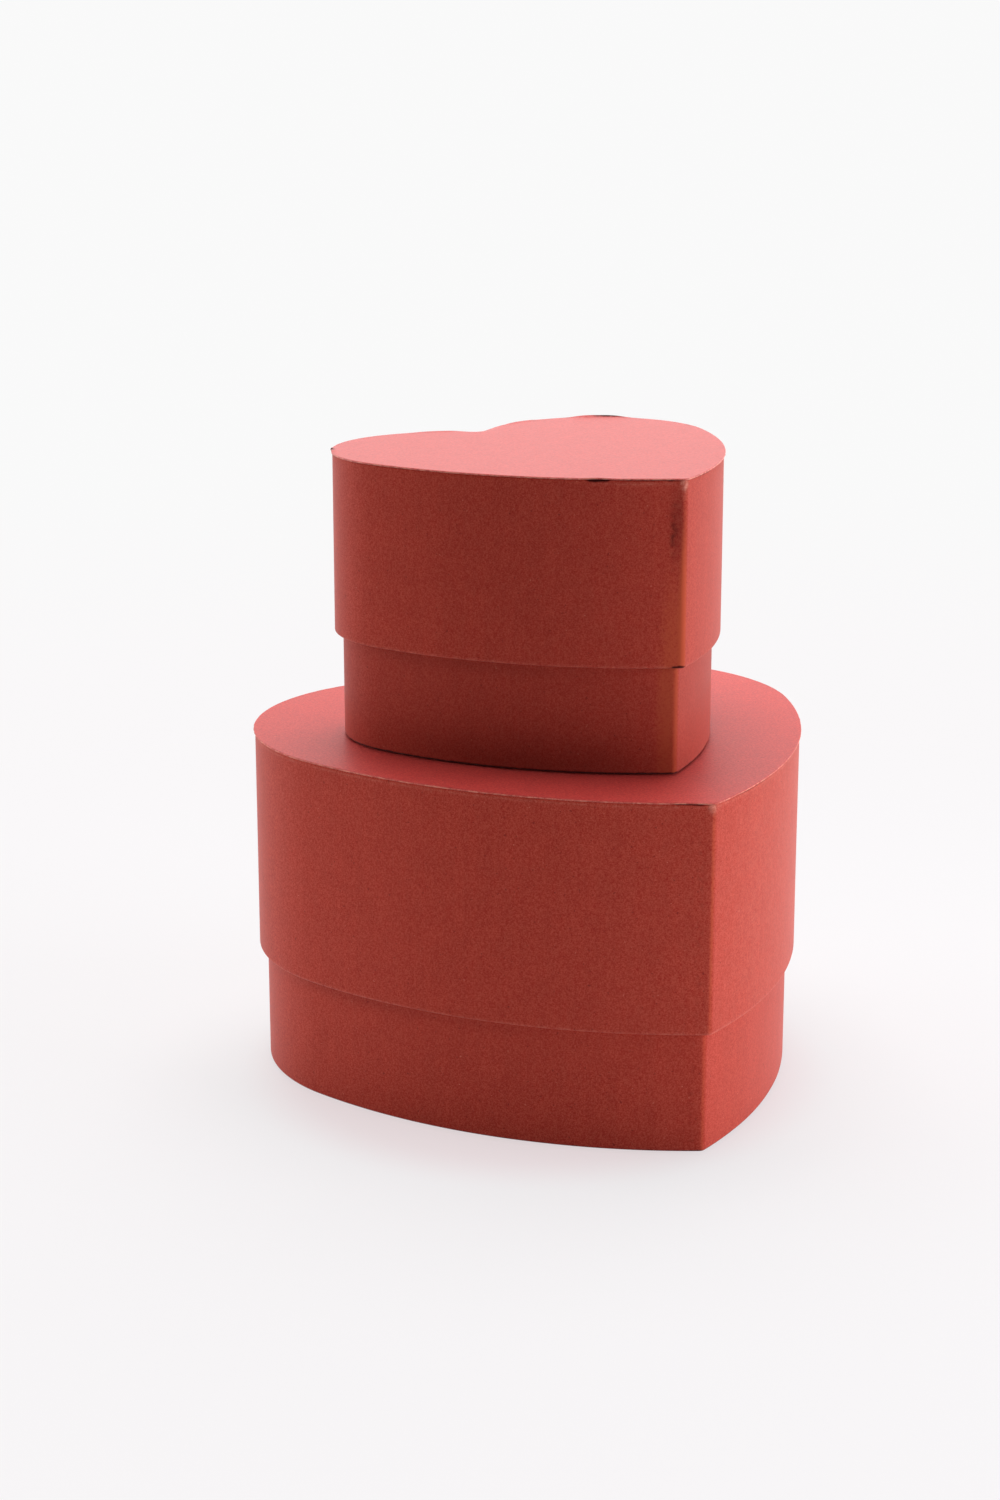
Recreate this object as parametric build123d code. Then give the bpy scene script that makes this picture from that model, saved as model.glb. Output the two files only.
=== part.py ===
from build123d import *
import math
import os
from dataclasses import dataclass

# A stacked set of two heart-shaped rigid gift boxes with deep lids, in millimetres.
# The large box stands on Z = 0, centred on the Z axis, with the heart's point towards -Y.
# Each box is a base and a lid, and both are made alike: a strip of board bent to the heart and
# butted at the cleft, a panel let into it, paper wrapped round the outside and lining inside.

# Large box, with the heart measured round the outside of the base
LARGE_WIDTH = 214.0
LARGE_LENGTH = 212.2
LARGE_SIDE_RADIUS = 205.4
LARGE_LOBE_RADIUS = 72.2
LARGE_CLEFT_DEPTH = 19.0
LARGE_HEIGHT = 135.0
LARGE_REVEAL = 47.1

# Small box, measured the same way
SMALL_WIDTH = 150.1
SMALL_LENGTH = 138.7
SMALL_SIDE_RADIUS = 159.2
SMALL_LOBE_RADIUS = 38.0
SMALL_CLEFT_DEPTH = 13.8
SMALL_HEIGHT = 110.3
SMALL_REVEAL = 40.9

# Where the small box stands on the large lid: its centre, and its turn in degrees
SMALL_X = -1.5
SMALL_Y = -3.0
SMALL_TURN = 6.3

# Thickness of the boards, cards and papers, and of the glue between them
WALL_BOARD = 1.7
PANEL_BOARD = 2.0
WRAP_PAPER = 0.25
LINING_PAPER = 0.25
TOP_CARD = 0.6
BOTTOM_PAPER = 0.3
GLUE_LINE = 0.1

# Slack all round between the outside of a base and the inside of its lid
LID_SLACK = 0.45

# Corners of the heart, on the outside of a base or a lid
TIP_RADIUS = 3.0
CLEFT_RADIUS = 6.0
SHARPEST_BEND = 0.1

# Edges and folds of the papers
TOP_LIP = 0.6
BOTTOM_INSET = 2.0
TURN_IN = 15.0
FLAP_WIDTH = 13.0
NOTCH_PITCH = 22.0
NOTCH_WIDTH = 7.0
NOTCH_ROOT = 2.5

# Butt joint of a wall at the cleft, and the tape over it
SEAM_GAP = 0.3
TAPE_WIDTH = 14.0

# Depths below the outer face of a base or lid at which each layer of its wall starts
BAND_FACE = WRAP_PAPER + GLUE_LINE
LINING_FACE = BAND_FACE + WALL_BOARD + GLUE_LINE
TURN_IN_FACE = LINING_FACE + LINING_PAPER + GLUE_LINE
INNER_FACE = TURN_IN_FACE + WRAP_PAPER

# How far the outer face of a lid stands outside the outer face of its base
LID_OFFSET = INNER_FACE + LID_SLACK


@dataclass
class HeartBox:
    """One box of the set: its heart, its height with the lid on, and the base that shows below the lid."""

    width: float
    length: float
    side_radius: float
    lobe_radius: float
    cleft_depth: float
    height: float
    reveal: float


def polar(centre, radius, angle):
    """Point at an angle, in radians, on a circle."""
    return (centre[0] + radius * math.cos(angle), centre[1] + radius * math.sin(angle))


def arc(centre, radius, start, end):
    """Arc of a circle between two angles, in radians."""
    middle = (start + end) / 2
    return ThreePointArc(*[polar(centre, radius, angle) for angle in (start, middle, end)])


def bearing(origin, target):
    """Angle, in radians, of the line from one point to another."""
    return math.atan2(target[1] - origin[1], target[0] - origin[0])


def heart(box, shell, depth):
    """Heart outline at a depth below the outer face of the shell, which lies shell mm outside the base.

    Half a heart is a side arc, a lobe arc and a shoulder arc that run into each other smoothly, with a
    rounded tip at the bottom and a rounded cleft at the top. Every depth shares the same arc centres,
    so the layers of a wall lie parallel all the way round.
    """
    lobe_x = box.width / 2 - box.lobe_radius
    tip = (0, -box.length / 2)
    lobe = (lobe_x, box.length / 2 - box.lobe_radius)

    # The side arc starts at the tip and ends tangent to the lobe, with its centre across the heart
    reach = math.dist(tip, lobe)
    to_lobe = box.side_radius - box.lobe_radius
    spread = math.acos((box.side_radius**2 + reach**2 - to_lobe**2) / (2 * box.side_radius * reach))
    side = polar(tip, box.side_radius, bearing(tip, lobe) + spread)

    # The shoulder arc leaves the top of the lobe level and drops by the cleft's depth at the middle
    shoulder_radius = (lobe_x**2 + box.cleft_depth**2) / (2 * box.cleft_depth)
    shoulder = (lobe_x, box.length / 2 - shoulder_radius)

    side_outer = box.side_radius + shell
    shoulder_outer = shoulder_radius + shell
    tip_centre = (0, side[1] - math.sqrt((side_outer - TIP_RADIUS)**2 - side[0]**2))
    cleft_centre = (0, shoulder[1] + math.sqrt((shoulder_outer + CLEFT_RADIUS)**2 - lobe_x**2))

    side_radius = side_outer - depth
    tip_radius = TIP_RADIUS - depth
    joint_angle = bearing(side, lobe)
    cleft_angle = bearing(shoulder, cleft_centre)

    # Deeper than the tip's own radius, the two sides meet in a corner
    if tip_radius > SHARPEST_BEND:
        tip_angle = bearing(side, tip_centre)
        half = Curve() + arc(tip_centre, tip_radius, -math.pi / 2, tip_angle)
    else:
        tip_angle = -math.acos(-side[0] / side_radius)
        half = Curve()
    half += arc(side, side_radius, tip_angle, joint_angle)
    half += arc(lobe, box.lobe_radius + shell - depth, joint_angle, math.pi / 2)
    half += arc(shoulder, shoulder_outer - depth, math.pi / 2, cleft_angle)
    half += arc(cleft_centre, CLEFT_RADIUS + depth, cleft_angle - math.pi, -math.pi / 2)
    return make_face(half + mirror(half, Plane.YZ))


def ring(box, shell, outer_depth, inner_depth):
    """Heart-shaped ring between two depths."""
    return heart(box, shell, outer_depth) - heart(box, shell, inner_depth)


def slab(sketch, start, end):
    """Solid of a flat shape between two heights, given in either order."""
    return Pos(Z=min(start, end)) * extrude(sketch, amount=abs(end - start))


def strip_at_cleft(box, width):
    """Upright strip of the plan, of the given width, over the cleft end of the heart."""
    return Pos(Y=box.length / 2) * Rectangle(width, box.length)


def notched_flap(box, shell):
    """Flap folded flat over a panel, with V notches so that the paper lies down round the curves."""
    roots = heart(box, shell, NOTCH_ROOT).face().outer_wire()
    count = round(roots.length / NOTCH_PITCH)
    notches = []
    for step in range(count):
        root = roots.position_at((step + 0.5) / count)
        along = roots.tangent_at((step + 0.5) / count) * (NOTCH_WIDTH / 2)
        inward = along.rotate(Axis.Z, 90).normalized() * FLAP_WIDTH
        if inward.dot(root) > 0:
            inward = inward * -1
        corners = [root, root + inward + along, root + inward - along]
        notches.append(make_face(Polyline(*corners, close=True)))
    return ring(box, shell, 0, FLAP_WIDTH) - notches


def wrap_paper(box, shell, fold, rim):
    """Outer paper: the skin of the wall, its turn over the rim and in, and the flap over the panel."""
    towards_rim = math.copysign(1, rim - fold)
    skin = slab(ring(box, shell, 0, WRAP_PAPER), fold, rim)
    hem = slab(ring(box, shell, 0, INNER_FACE), rim - towards_rim * WRAP_PAPER, rim)
    turn_in = slab(ring(box, shell, TURN_IN_FACE, INNER_FACE), rim - towards_rim * TURN_IN, rim)
    flap = slab(notched_flap(box, shell), fold, fold + towards_rim * WRAP_PAPER)
    return skin + hem + turn_in + flap


def covered_tray(box, shell, fold, rim, side, panel):
    """The six pieces of a base or a lid, from the fold round its panel to its open rim."""
    towards_rim = math.copysign(1, rim - fold)
    panel_foot = fold + towards_rim * WRAP_PAPER
    panel_head = panel_foot + towards_rim * PANEL_BOARD
    lining_foot = panel_head + towards_rim * LINING_PAPER
    wall_end = rim - towards_rim * WRAP_PAPER

    band = ring(box, shell, BAND_FACE, BAND_FACE + WALL_BOARD) - strip_at_cleft(box, SEAM_GAP)
    lining = ring(box, shell, LINING_FACE, LINING_FACE + LINING_PAPER)
    tape = lining & strip_at_cleft(box, TAPE_WIDTH)
    lining -= strip_at_cleft(box, TAPE_WIDTH + 2 * GLUE_LINE)
    panel_face = heart(box, shell, LINING_FACE)

    return {
        f"{side}_{panel}_board": slab(panel_face, panel_foot, panel_head),
        f"{side}_{panel}_lining": slab(panel_face, panel_head, lining_foot),
        f"{side}_wall_band": slab(band, panel_foot, wall_end),
        f"{side}_wall_lining": slab(lining, lining_foot, wall_end),
        f"{side}_seam_tape": slab(tape, lining_foot, wall_end),
        f"{side}_wrap": wrap_paper(box, shell, fold, rim),
    }


def box_pieces(box):
    """All pieces of one closed box, standing on Z = 0."""
    lid_fold = box.height - TOP_CARD
    base_rim = lid_fold - WRAP_PAPER - PANEL_BOARD - LINING_PAPER
    pieces = covered_tray(box, 0, BOTTOM_PAPER, base_rim, "base", "floor")
    pieces["base_bottom_sheet"] = slab(heart(box, 0, BOTTOM_INSET), 0, BOTTOM_PAPER)
    pieces |= covered_tray(box, LID_OFFSET, lid_fold, box.reveal, "lid", "top")
    pieces["lid_top_sheet"] = slab(heart(box, LID_OFFSET, -TOP_LIP), lid_fold, box.height)
    return pieces


large = HeartBox(
    LARGE_WIDTH,
    LARGE_LENGTH,
    LARGE_SIDE_RADIUS,
    LARGE_LOBE_RADIUS,
    LARGE_CLEFT_DEPTH,
    LARGE_HEIGHT,
    LARGE_REVEAL,
)
small = HeartBox(
    SMALL_WIDTH,
    SMALL_LENGTH,
    SMALL_SIDE_RADIUS,
    SMALL_LOBE_RADIUS,
    SMALL_CLEFT_DEPTH,
    SMALL_HEIGHT,
    SMALL_REVEAL,
)
places = {
    "large": (large, Location((0, 0, 0))),
    "small": (small, Location((SMALL_X, SMALL_Y, LARGE_HEIGHT), (0, 0, SMALL_TURN))),
}

os.makedirs("parts", exist_ok=True)
for name, (box, place) in places.items():
    for piece, solid in box_pieces(box).items():
        export_step(place * solid, f"parts/{name}_{piece}.step")
        print(f"{name}_{piece}: {solid.volume:.0f} mm3")
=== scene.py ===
# %% [markdown]
# # Two heart-shaped gift boxes, stacked
#
# The object is a set of two covered boxes: a small heart box standing on the lid of a large one. Each is
# made of board, covered in matte red paper that is full of fine fibres. This lesson dresses the solid
# model of the set: the model gives sizes and places, and the script makes the paper that the eye sees.

# %% Load the solid model
import math

import bmesh
import bpy
import numpy as np
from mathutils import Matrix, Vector, noise


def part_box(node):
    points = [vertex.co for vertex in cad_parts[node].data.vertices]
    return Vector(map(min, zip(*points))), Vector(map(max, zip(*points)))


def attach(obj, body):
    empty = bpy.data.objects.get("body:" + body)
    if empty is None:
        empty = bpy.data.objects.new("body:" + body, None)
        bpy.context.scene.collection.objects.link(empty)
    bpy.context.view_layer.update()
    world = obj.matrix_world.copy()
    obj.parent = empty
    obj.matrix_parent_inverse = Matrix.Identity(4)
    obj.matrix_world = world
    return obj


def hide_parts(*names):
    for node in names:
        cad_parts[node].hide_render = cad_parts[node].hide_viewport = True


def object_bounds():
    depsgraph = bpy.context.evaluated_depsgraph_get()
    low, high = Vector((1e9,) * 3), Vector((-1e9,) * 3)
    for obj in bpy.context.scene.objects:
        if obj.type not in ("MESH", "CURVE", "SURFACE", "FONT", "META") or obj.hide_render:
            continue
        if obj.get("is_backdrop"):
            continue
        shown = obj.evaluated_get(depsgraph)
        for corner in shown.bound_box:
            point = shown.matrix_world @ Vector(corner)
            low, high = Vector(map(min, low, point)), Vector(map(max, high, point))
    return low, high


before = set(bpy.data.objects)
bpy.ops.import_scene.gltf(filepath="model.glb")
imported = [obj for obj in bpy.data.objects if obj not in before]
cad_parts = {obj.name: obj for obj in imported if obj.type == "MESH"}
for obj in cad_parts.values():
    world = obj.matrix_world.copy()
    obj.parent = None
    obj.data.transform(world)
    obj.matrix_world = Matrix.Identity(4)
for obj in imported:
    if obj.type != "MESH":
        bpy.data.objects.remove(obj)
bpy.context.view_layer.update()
scene = bpy.context.scene
scene.view_settings.view_transform = "Standard"

MM = 0.001

# %% [markdown]
# ## Camera
#
# The picture was taken from a little above, to the left of the hearts' points. Camera place, direction
# and lens come from fitting the outline of the boxes, so the render can be laid over the picture.

# %% Camera
CAMERA_PLACE = Vector((-504.8, -919.4, 412.6)) * MM
CAMERA_BEARING = math.radians(27.35)
CAMERA_PITCH = math.radians(15.19)
FOCAL_PIXELS = 2797
PICTURE_HEIGHT = 1500

lens = bpy.data.cameras.new("camera")
lens.sensor_width = 36.0
lens.lens = lens.sensor_width * FOCAL_PIXELS / PICTURE_HEIGHT
camera = bpy.data.objects.new("camera", lens)
camera.location = CAMERA_PLACE
camera.rotation_euler = (math.pi / 2 - CAMERA_PITCH, 0, -CAMERA_BEARING)
scene.collection.objects.link(camera)
scene.camera = camera
print(f"camera: lens {lens.lens:.1f} mm")

# %% [markdown]
# ## Node helpers
#
# Every finish below is a small graph of shader nodes, and a few helpers keep those graphs short. The first
# adds a node and fills its inputs, whether with plain values or with links from other nodes. The others
# use it for steps that come back often: mapping a value from one range to another, arithmetic, mixing two
# colours, and noise.

# %% Node helpers


def add_node(tree, kind, inputs=None, **settings):
    """Adds a node; inputs maps socket names or numbers to values or to other nodes' output sockets."""
    node = tree.nodes.new(kind)
    for name, value in settings.items():
        setattr(node, name, value)
    for key, value in (inputs or {}).items():
        if isinstance(value, bpy.types.NodeSocket):
            tree.links.new(value, node.inputs[key])
        else:
            node.inputs[key].default_value = value
    return node


def remap(tree, value, low, high, new_low=0.0, new_high=1.0):
    """Output that runs from new_low to new_high, smoothly, as value runs from low to high."""
    inputs = {"Value": value, "From Min": low, "From Max": high, "To Min": new_low, "To Max": new_high}
    return add_node(tree, "ShaderNodeMapRange", inputs, interpolation_type="SMOOTHSTEP").outputs["Result"]


def calc(tree, operation, first, second):
    """Output of one arithmetic step."""
    return add_node(tree, "ShaderNodeMath", {0: first, 1: second}, operation=operation).outputs[0]


def mix_colour(tree, factor, first, second):
    """Output colour that goes from first to second with the factor."""
    # The node has sockets for numbers and vectors too; 6 and 7 are its colours, and output 2 is their mix
    inputs = {0: factor, 6: first, 7: second}
    return add_node(tree, "ShaderNodeMix", inputs, data_type="RGBA").outputs[2]


def noise_texture(tree, place, scale, detail, roughness):
    """Output of a noise pattern with about the given number of grains per metre."""
    inputs = {"Vector": place, "Scale": scale, "Detail": detail, "Roughness": roughness}
    return add_node(tree, "ShaderNodeTexNoise", inputs).outputs["Fac"]


def new_material(name):
    """Material with an empty Principled shader, and its node tree."""
    material = bpy.data.materials.new(name)
    material.use_nodes = True
    return material, material.node_tree, material.node_tree.nodes["Principled BSDF"]


# %% [markdown]
# ## Background
#
# The boxes stand on a pale sweep. The world does two jobs there, which Light Path tells apart. What the eye
# sees, directly, in a mirror or through glass, is plain white. The light that falls on the boxes is a soft
# glow from behind them, which fades to nothing on the camera's side.

# %% Background
BACKDROP_WHITE = 0.95
BACK_GLOW = 1.0
FRONT_GLOW = 0.0
GLOW_TINT = (1, 0.99, 0.985, 1)

# The glow grows between these cosines of the angle from straight behind the boxes
GLOW_RUN = (-0.3, 0.6)


def shows_white(tree):
    """Output that is 1 for what the eye sees directly, or in a mirror or through glass."""
    rays = add_node(tree, "ShaderNodeLightPath").outputs
    through = calc(tree, "MAXIMUM", rays["Is Glossy Ray"], rays["Is Transmission Ray"])
    return calc(tree, "MAXIMUM", rays["Is Camera Ray"], through)


world = bpy.data.worlds.new("studio")
world.use_nodes = True
scene.world = world
tree = world.node_tree
tree.nodes.clear()
direction = add_node(tree, "ShaderNodeTexCoord").outputs["Object"]
back = (math.sin(CAMERA_BEARING), math.cos(CAMERA_BEARING), 0)
behind = add_node(tree, "ShaderNodeVectorMath", {0: direction, 1: back}, operation="DOT_PRODUCT")
glow = remap(tree, behind.outputs["Value"], *GLOW_RUN, FRONT_GLOW, BACK_GLOW)
ambient = add_node(tree, "ShaderNodeBackground", {"Color": GLOW_TINT, "Strength": glow})
seen = add_node(tree, "ShaderNodeBackground", {"Color": (1, 1, 1, 1), "Strength": BACKDROP_WHITE})
jobs = {0: shows_white(tree), 1: ambient.outputs[0], 2: seen.outputs[0]}
blend = add_node(tree, "ShaderNodeMixShader", jobs)
add_node(tree, "ShaderNodeOutputWorld", {"Surface": blend.outputs[0]})
print("world:", len(tree.nodes), "nodes")

# %% [markdown]
# ## Floor
#
# The floor is a real surface, so that it takes the boxes' shadow, and it fades into the white behind it. For
# the eye it is whitened, the more so further out, while the light that it throws up at the boxes comes from
# its own pale grey. Whitening would hide the red light that the boxes throw on the floor, so a faint red
# bounce light is painted round their foot instead.

# %% Floor
FLOOR_COLOUR = (0.63, 0.626, 0.63, 1)
FLOOR_WHITE = (0.955, 0.935, 0.945, 1)
FLOOR_WHITENING = 0.73
# Red bounce light painted on the floor round the boxes' foot
FLOOR_PAINTED_BOUNCE = (0.93, 0.83, 0.845, 1)
FLOOR_RADIUS = 1.6
FLOOR_DROP = 0.2 * MM
FLOOR_SIDES = 64

# Where the painted bounce light, the whitening and the fade start and end, in metres from their centre
PAINTED_BOUNCE_CENTRE = (-0.014, -0.002, 0)
PAINTED_BOUNCE_RUN = (0.0895, 0.1215)
WHITENING_RUN = (0.2, 0.6)
FADE_RUN = (0.25 * FLOOR_RADIUS, 0.95 * FLOOR_RADIUS)

floor_material, tree, shader = new_material("floor_white")
shader.inputs["Base Color"].default_value = FLOOR_COLOUR
shader.inputs["Roughness"].default_value = 0.9
shader.inputs["Specular IOR Level"].default_value = 0.1
place = add_node(tree, "ShaderNodeTexCoord").outputs["Object"]
distance = add_node(tree, "ShaderNodeVectorMath", {0: place}, operation="LENGTH").outputs["Value"]
from_painted_bounce = add_node(tree, "ShaderNodeVectorMath", {0: place, 1: PAINTED_BOUNCE_CENTRE}, operation="DISTANCE")
painted_bounce = remap(tree, from_painted_bounce.outputs["Value"], *PAINTED_BOUNCE_RUN, 1.0, 0.0)
tint = mix_colour(tree, painted_bounce, FLOOR_WHITE, FLOOR_PAINTED_BOUNCE)
white = add_node(tree, "ShaderNodeEmission", {"Color": tint})
open_floor = remap(tree, distance, *WHITENING_RUN, FLOOR_WHITENING, 1.0)
whitened = calc(tree, "MULTIPLY", shows_white(tree), open_floor)
paper = add_node(tree, "ShaderNodeMixShader", {0: whitened, 1: shader.outputs[0], 2: white.outputs[0]})
clear = add_node(tree, "ShaderNodeBsdfTransparent")
fade = remap(tree, distance, *FADE_RUN)
surface = add_node(tree, "ShaderNodeMixShader", {0: fade, 1: paper.outputs[0], 2: clear.outputs[0]})
tree.links.new(surface.outputs[0], tree.nodes["Material Output"].inputs["Surface"])

# The floor lies a hair below the boxes, so that it never shares a plane with their bottom sheet
turns = np.linspace(0, math.tau, FLOOR_SIDES, endpoint=False)
rim = [(FLOOR_RADIUS * math.cos(a), FLOOR_RADIUS * math.sin(a), -FLOOR_DROP) for a in turns]
floor_mesh = bpy.data.meshes.new("floor")
floor_mesh.from_pydata(rim, [], [range(len(rim))])
floor_mesh.materials.append(floor_material)
floor = bpy.data.objects.new("floor", floor_mesh)
scene.collection.objects.link(floor)
floor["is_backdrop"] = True
print("floor:", FLOOR_RADIUS, "m in radius")

# %% [markdown]
# ## Lamps
#
# Five broad soft panels light the boxes. The strongest stand above and on the right, two fill in from behind
# and from the left, and only a weak one stands near the camera, so the near left walls stay dark. The panel
# behind is mirrored in the paper, as the backdrop is. The others are not, because they would leave bright
# patches on its sheen.

# %% Lamps
AIM = Vector((0, 0, 0.12))


def soft_panel(name, bearing, height, distance, width, tall, power, tint=(1, 1, 1), mirrored=False):
    """Area lamp that looks at the boxes; bearing is counted clockwise from +Y, seen from above.

    A lamp that is not mirrored lights the paper, but leaves no bright patch on its sheen.
    """
    lamp = bpy.data.lights.new(name, "AREA")
    lamp.shape = "RECTANGLE"
    lamp.size = width
    lamp.size_y = tall
    lamp.energy = power
    lamp.color = tint
    panel = bpy.data.objects.new(name, lamp)
    turn = math.radians(bearing)
    panel.location = (distance * math.sin(turn), distance * math.cos(turn), height)
    aim = AIM - panel.location
    panel.rotation_euler = aim.to_track_quat("-Z", "Y").to_euler()
    panel.visible_camera = False
    panel.visible_glossy = mirrored
    scene.collection.objects.link(panel)


# Each lamp: bearing in degrees, then height, distance, width and tallness in metres, and power in watts
soft_panel("back_panel", 27, 0.9, 2.0, 3.4, 1.8, 10, mirrored=True)
soft_panel("top_panel", 27, 1.5, 0.35, 0.9, 0.9, 19.5)
soft_panel("key_panel", 130, 0.42, 1.4, 1.0, 0.8, 18.6, tint=(0.97, 1.0, 1.08))
soft_panel("left_panel", -50, 0.5, 1.6, 1.2, 1.0, 11.5)
soft_panel("front_panel", 215, 0.45, 1.6, 1.2, 0.8, 2.5)

# %% [markdown]
# ## Red paper
#
# The wrap is dyed craft paper: brick red, quite matt with a trace of sheen, with a fine grain of darker and
# lighter fibres, the odd stray fleck, and faint streaks down the wall. The top cards are more crimson and
# reflect more, the large one less than the small one. The grain lives in the shader, because it is colour
# and not shape. A dye is two colours, one for the dark fibres and one for the light.

# %% Red paper
BRICK = ((0.398, 0.0275, 0.0150, 1), (0.547, 0.0795, 0.0500, 1))
CRIMSON = ((0.392, 0.0240, 0.0230, 1), (0.540, 0.0740, 0.0605, 1))
FLECK_DARK = (0.20, 0.018, 0.012, 1)
FLECK_LIGHT = (0.72, 0.22, 0.15, 1)

# Sizes of the patterns in the paper, in grains per metre; streaks are drawn out up the wall
FINE_FIBRES = 2100
COARSE_FIBRES = 1000
FLECKS = 900
STREAKS = 420
STREAK_STRETCH = (1, 1, 0.05)
CLOUDS = 110


def paper_colour(tree, place, fine, grain, spread, dye):
    """Colour of clean paper: fibre grain, soft clouds, streaks down the wall, and flecks.

    A smaller spread makes the dark and the light fibres stand out more.
    """
    cloud = noise_texture(tree, place, CLOUDS, 3.0, 0.55)
    drawn_out = add_node(tree, "ShaderNodeMapping", {"Vector": place, "Scale": STREAK_STRETCH}).outputs[0]
    streak = noise_texture(tree, drawn_out, STREAKS, 2.0, 0.5)
    fibres = calc(tree, "ADD", calc(tree, "MULTIPLY", fine, 0.65), calc(tree, "MULTIPLY", grain, 0.35))
    colour = mix_colour(tree, remap(tree, fibres, 0.5 - spread, 0.5 + spread), *dye)
    shade = remap(tree, cloud, 0.3, 0.7, 0.975, 1.025)
    shade = calc(tree, "ADD", shade, remap(tree, streak, 0.3, 0.7, -0.02, 0.02))
    colour = add_node(tree, "ShaderNodeHueSaturation", {"Value": shade, "Color": colour}).outputs[0]
    flecks = noise_texture(tree, place, FLECKS, 1.0, 0.4)
    colour = mix_colour(tree, remap(tree, flecks, 0.73, 0.78, 0, 0.75), colour, FLECK_DARK)
    return mix_colour(tree, remap(tree, flecks, 0.23, 0.18, 0, 0.6), colour, FLECK_LIGHT)


# %% [markdown]
# ## Worn paper and painted shade
#
# Wear is different from grain, because it follows the edges of the boxes: the dye is rubbed off along the
# points, dirt sits beside them, and cut edges and worn folds are pale. Light and shade are painted on in the
# same way: dark lines under the card lips, along the foot and in place of a split in the small lid's rim are
# painted shadow, bands under the lids' rims and over the small box are painted shade, and the lids' rims
# carry a painted highlight. Each red mesh stores how rubbed, how soiled or painted dark, how painted shaded
# and how pale or painted bright it is at each point, and the shader breaks most of those smooth amounts up
# with the paper's grain or with coarser blotches. Soiled or painted dark paper does not shine.

# %% Worn paper and painted shade
RUBBED_BROWN = (0.55, 0.088, 0.036, 1)
# Dark of soil, also used for painted shade and painted shadow
SOIL_AND_SHADE_DARK = (0.060, 0.008, 0.006, 1)
# Pale of worn fibre, also used for the painted highlight along the lids' rims
PALE_FIBRE_AND_HIGHLIGHT = (0.82, 0.34, 0.25, 1)
BLOTCHES = 380

# How deep the grain is, and how far it swings the roughness
BUMP_DEPTH = 0.1 * MM
ROUGH_SWING = 0.06

WRAP_FINISH = {"shine": 0.08, "rough": 0.49, "spread": 0.15, "tooth": 0.25, "sheen": 0.09}
CARD_FINISH = {"spread": 0.09, "tooth": 0.15, "sheen": 0.0}


def attribute(tree, name):
    """Output of a number stored on the mesh."""
    return add_node(tree, "ShaderNodeAttribute", attribute_name=name).outputs["Fac"]


def uneven(tree, amount, pattern, spread):
    """Amount that a pattern, which swings about one half, pushes up and down by up to half the spread."""
    swing = calc(tree, "MULTIPLY", calc(tree, "SUBTRACT", pattern, 0.5), spread)
    return calc(tree, "ADD", amount, swing)


def red_paper(name, dye, shine, rough, spread, tooth, sheen):
    """Matte red paper with fibre grain, flecks, worn edges, and painted shade and highlights.

    Shine is how much it reflects and rough how blurred that is. Spread is how soft the fibres' colours are,
    tooth how strong their relief, and sheen the bloom at grazing angles.
    """
    material, tree, shader = new_material(name)
    place = add_node(tree, "ShaderNodeTexCoord").outputs["Object"]
    fine = noise_texture(tree, place, FINE_FIBRES, 2.0, 0.6)
    grain = noise_texture(tree, place, COARSE_FIBRES, 2.0, 0.6)
    blotch = noise_texture(tree, place, BLOTCHES, 3.0, 0.6)
    colour = paper_colour(tree, place, fine, grain, spread, dye)

    rubbed = uneven(tree, attribute(tree, "rubbed"), grain, 0.7)
    colour = mix_colour(tree, remap(tree, rubbed, 0.2, 0.9, 0, 0.9), colour, RUBBED_BROWN)
    # Pale wear, and a painted highlight along the lids' rims
    pale = calc(tree, "MULTIPLY", attribute(tree, "pale"), remap(tree, blotch, 0.38, 0.62, 0.25, 1.0))
    colour = mix_colour(tree, pale, colour, PALE_FIBRE_AND_HIGHLIGHT)
    # Painted shade: darkens the paper under the lids' rims and over parts of the small box
    colour = mix_colour(tree, attribute(tree, "painted_shade"), colour, SOIL_AND_SHADE_DARK)
    # Soil, and painted shadow in the grooves under the card lips, along the foot and at the small lid's split
    soiled = uneven(tree, attribute(tree, "soiled"), blotch, 0.8)
    colour = mix_colour(tree, remap(tree, soiled, 0.3, 0.9), colour, SOIL_AND_SHADE_DARK)
    tree.links.new(colour, shader.inputs["Base Color"])

    blur = remap(tree, fine, 0.3, 0.7, rough - ROUGH_SWING, rough + ROUGH_SWING)
    tree.links.new(blur, shader.inputs["Roughness"])
    tree.links.new(remap(tree, soiled, 0.3, 0.9, shine, 0.0), shader.inputs["Specular IOR Level"])
    shader.inputs["Sheen Weight"].default_value = sheen
    bump = add_node(tree, "ShaderNodeBump", {"Strength": tooth, "Distance": BUMP_DEPTH, "Height": fine})
    tree.links.new(bump.outputs[0], shader.inputs["Normal"])
    return material


wrap_red = red_paper("red_wrap_paper", BRICK, **WRAP_FINISH)
card_red = {
    "large": red_paper("red_top_card_dull", CRIMSON, shine=0.30, rough=0.48, **CARD_FINISH),
    "small": red_paper("red_top_card", CRIMSON, shine=0.48, rough=0.42, **CARD_FINISH),
}
sheet_red = red_paper("bottom_paper", BRICK, **WRAP_FINISH)
print("papers:", wrap_red.name, *[card.name for card in card_red.values()], sheet_red.name)

# %% [markdown]
# ## Board, lining and tape
#
# Inside the paper is grey millboard, pressed from waste pulp, so it is speckled. The inside of each box is
# lined with plain cream paper, and brown gummed tape closes the butt joint of the wall.

# %% Board, lining and tape
# A pulp's clouds are this many times as large as its grains
PULP_CLOUD = 12
PULP_SHINE = 0.3
PULP_TOOTH = 0.3


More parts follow.
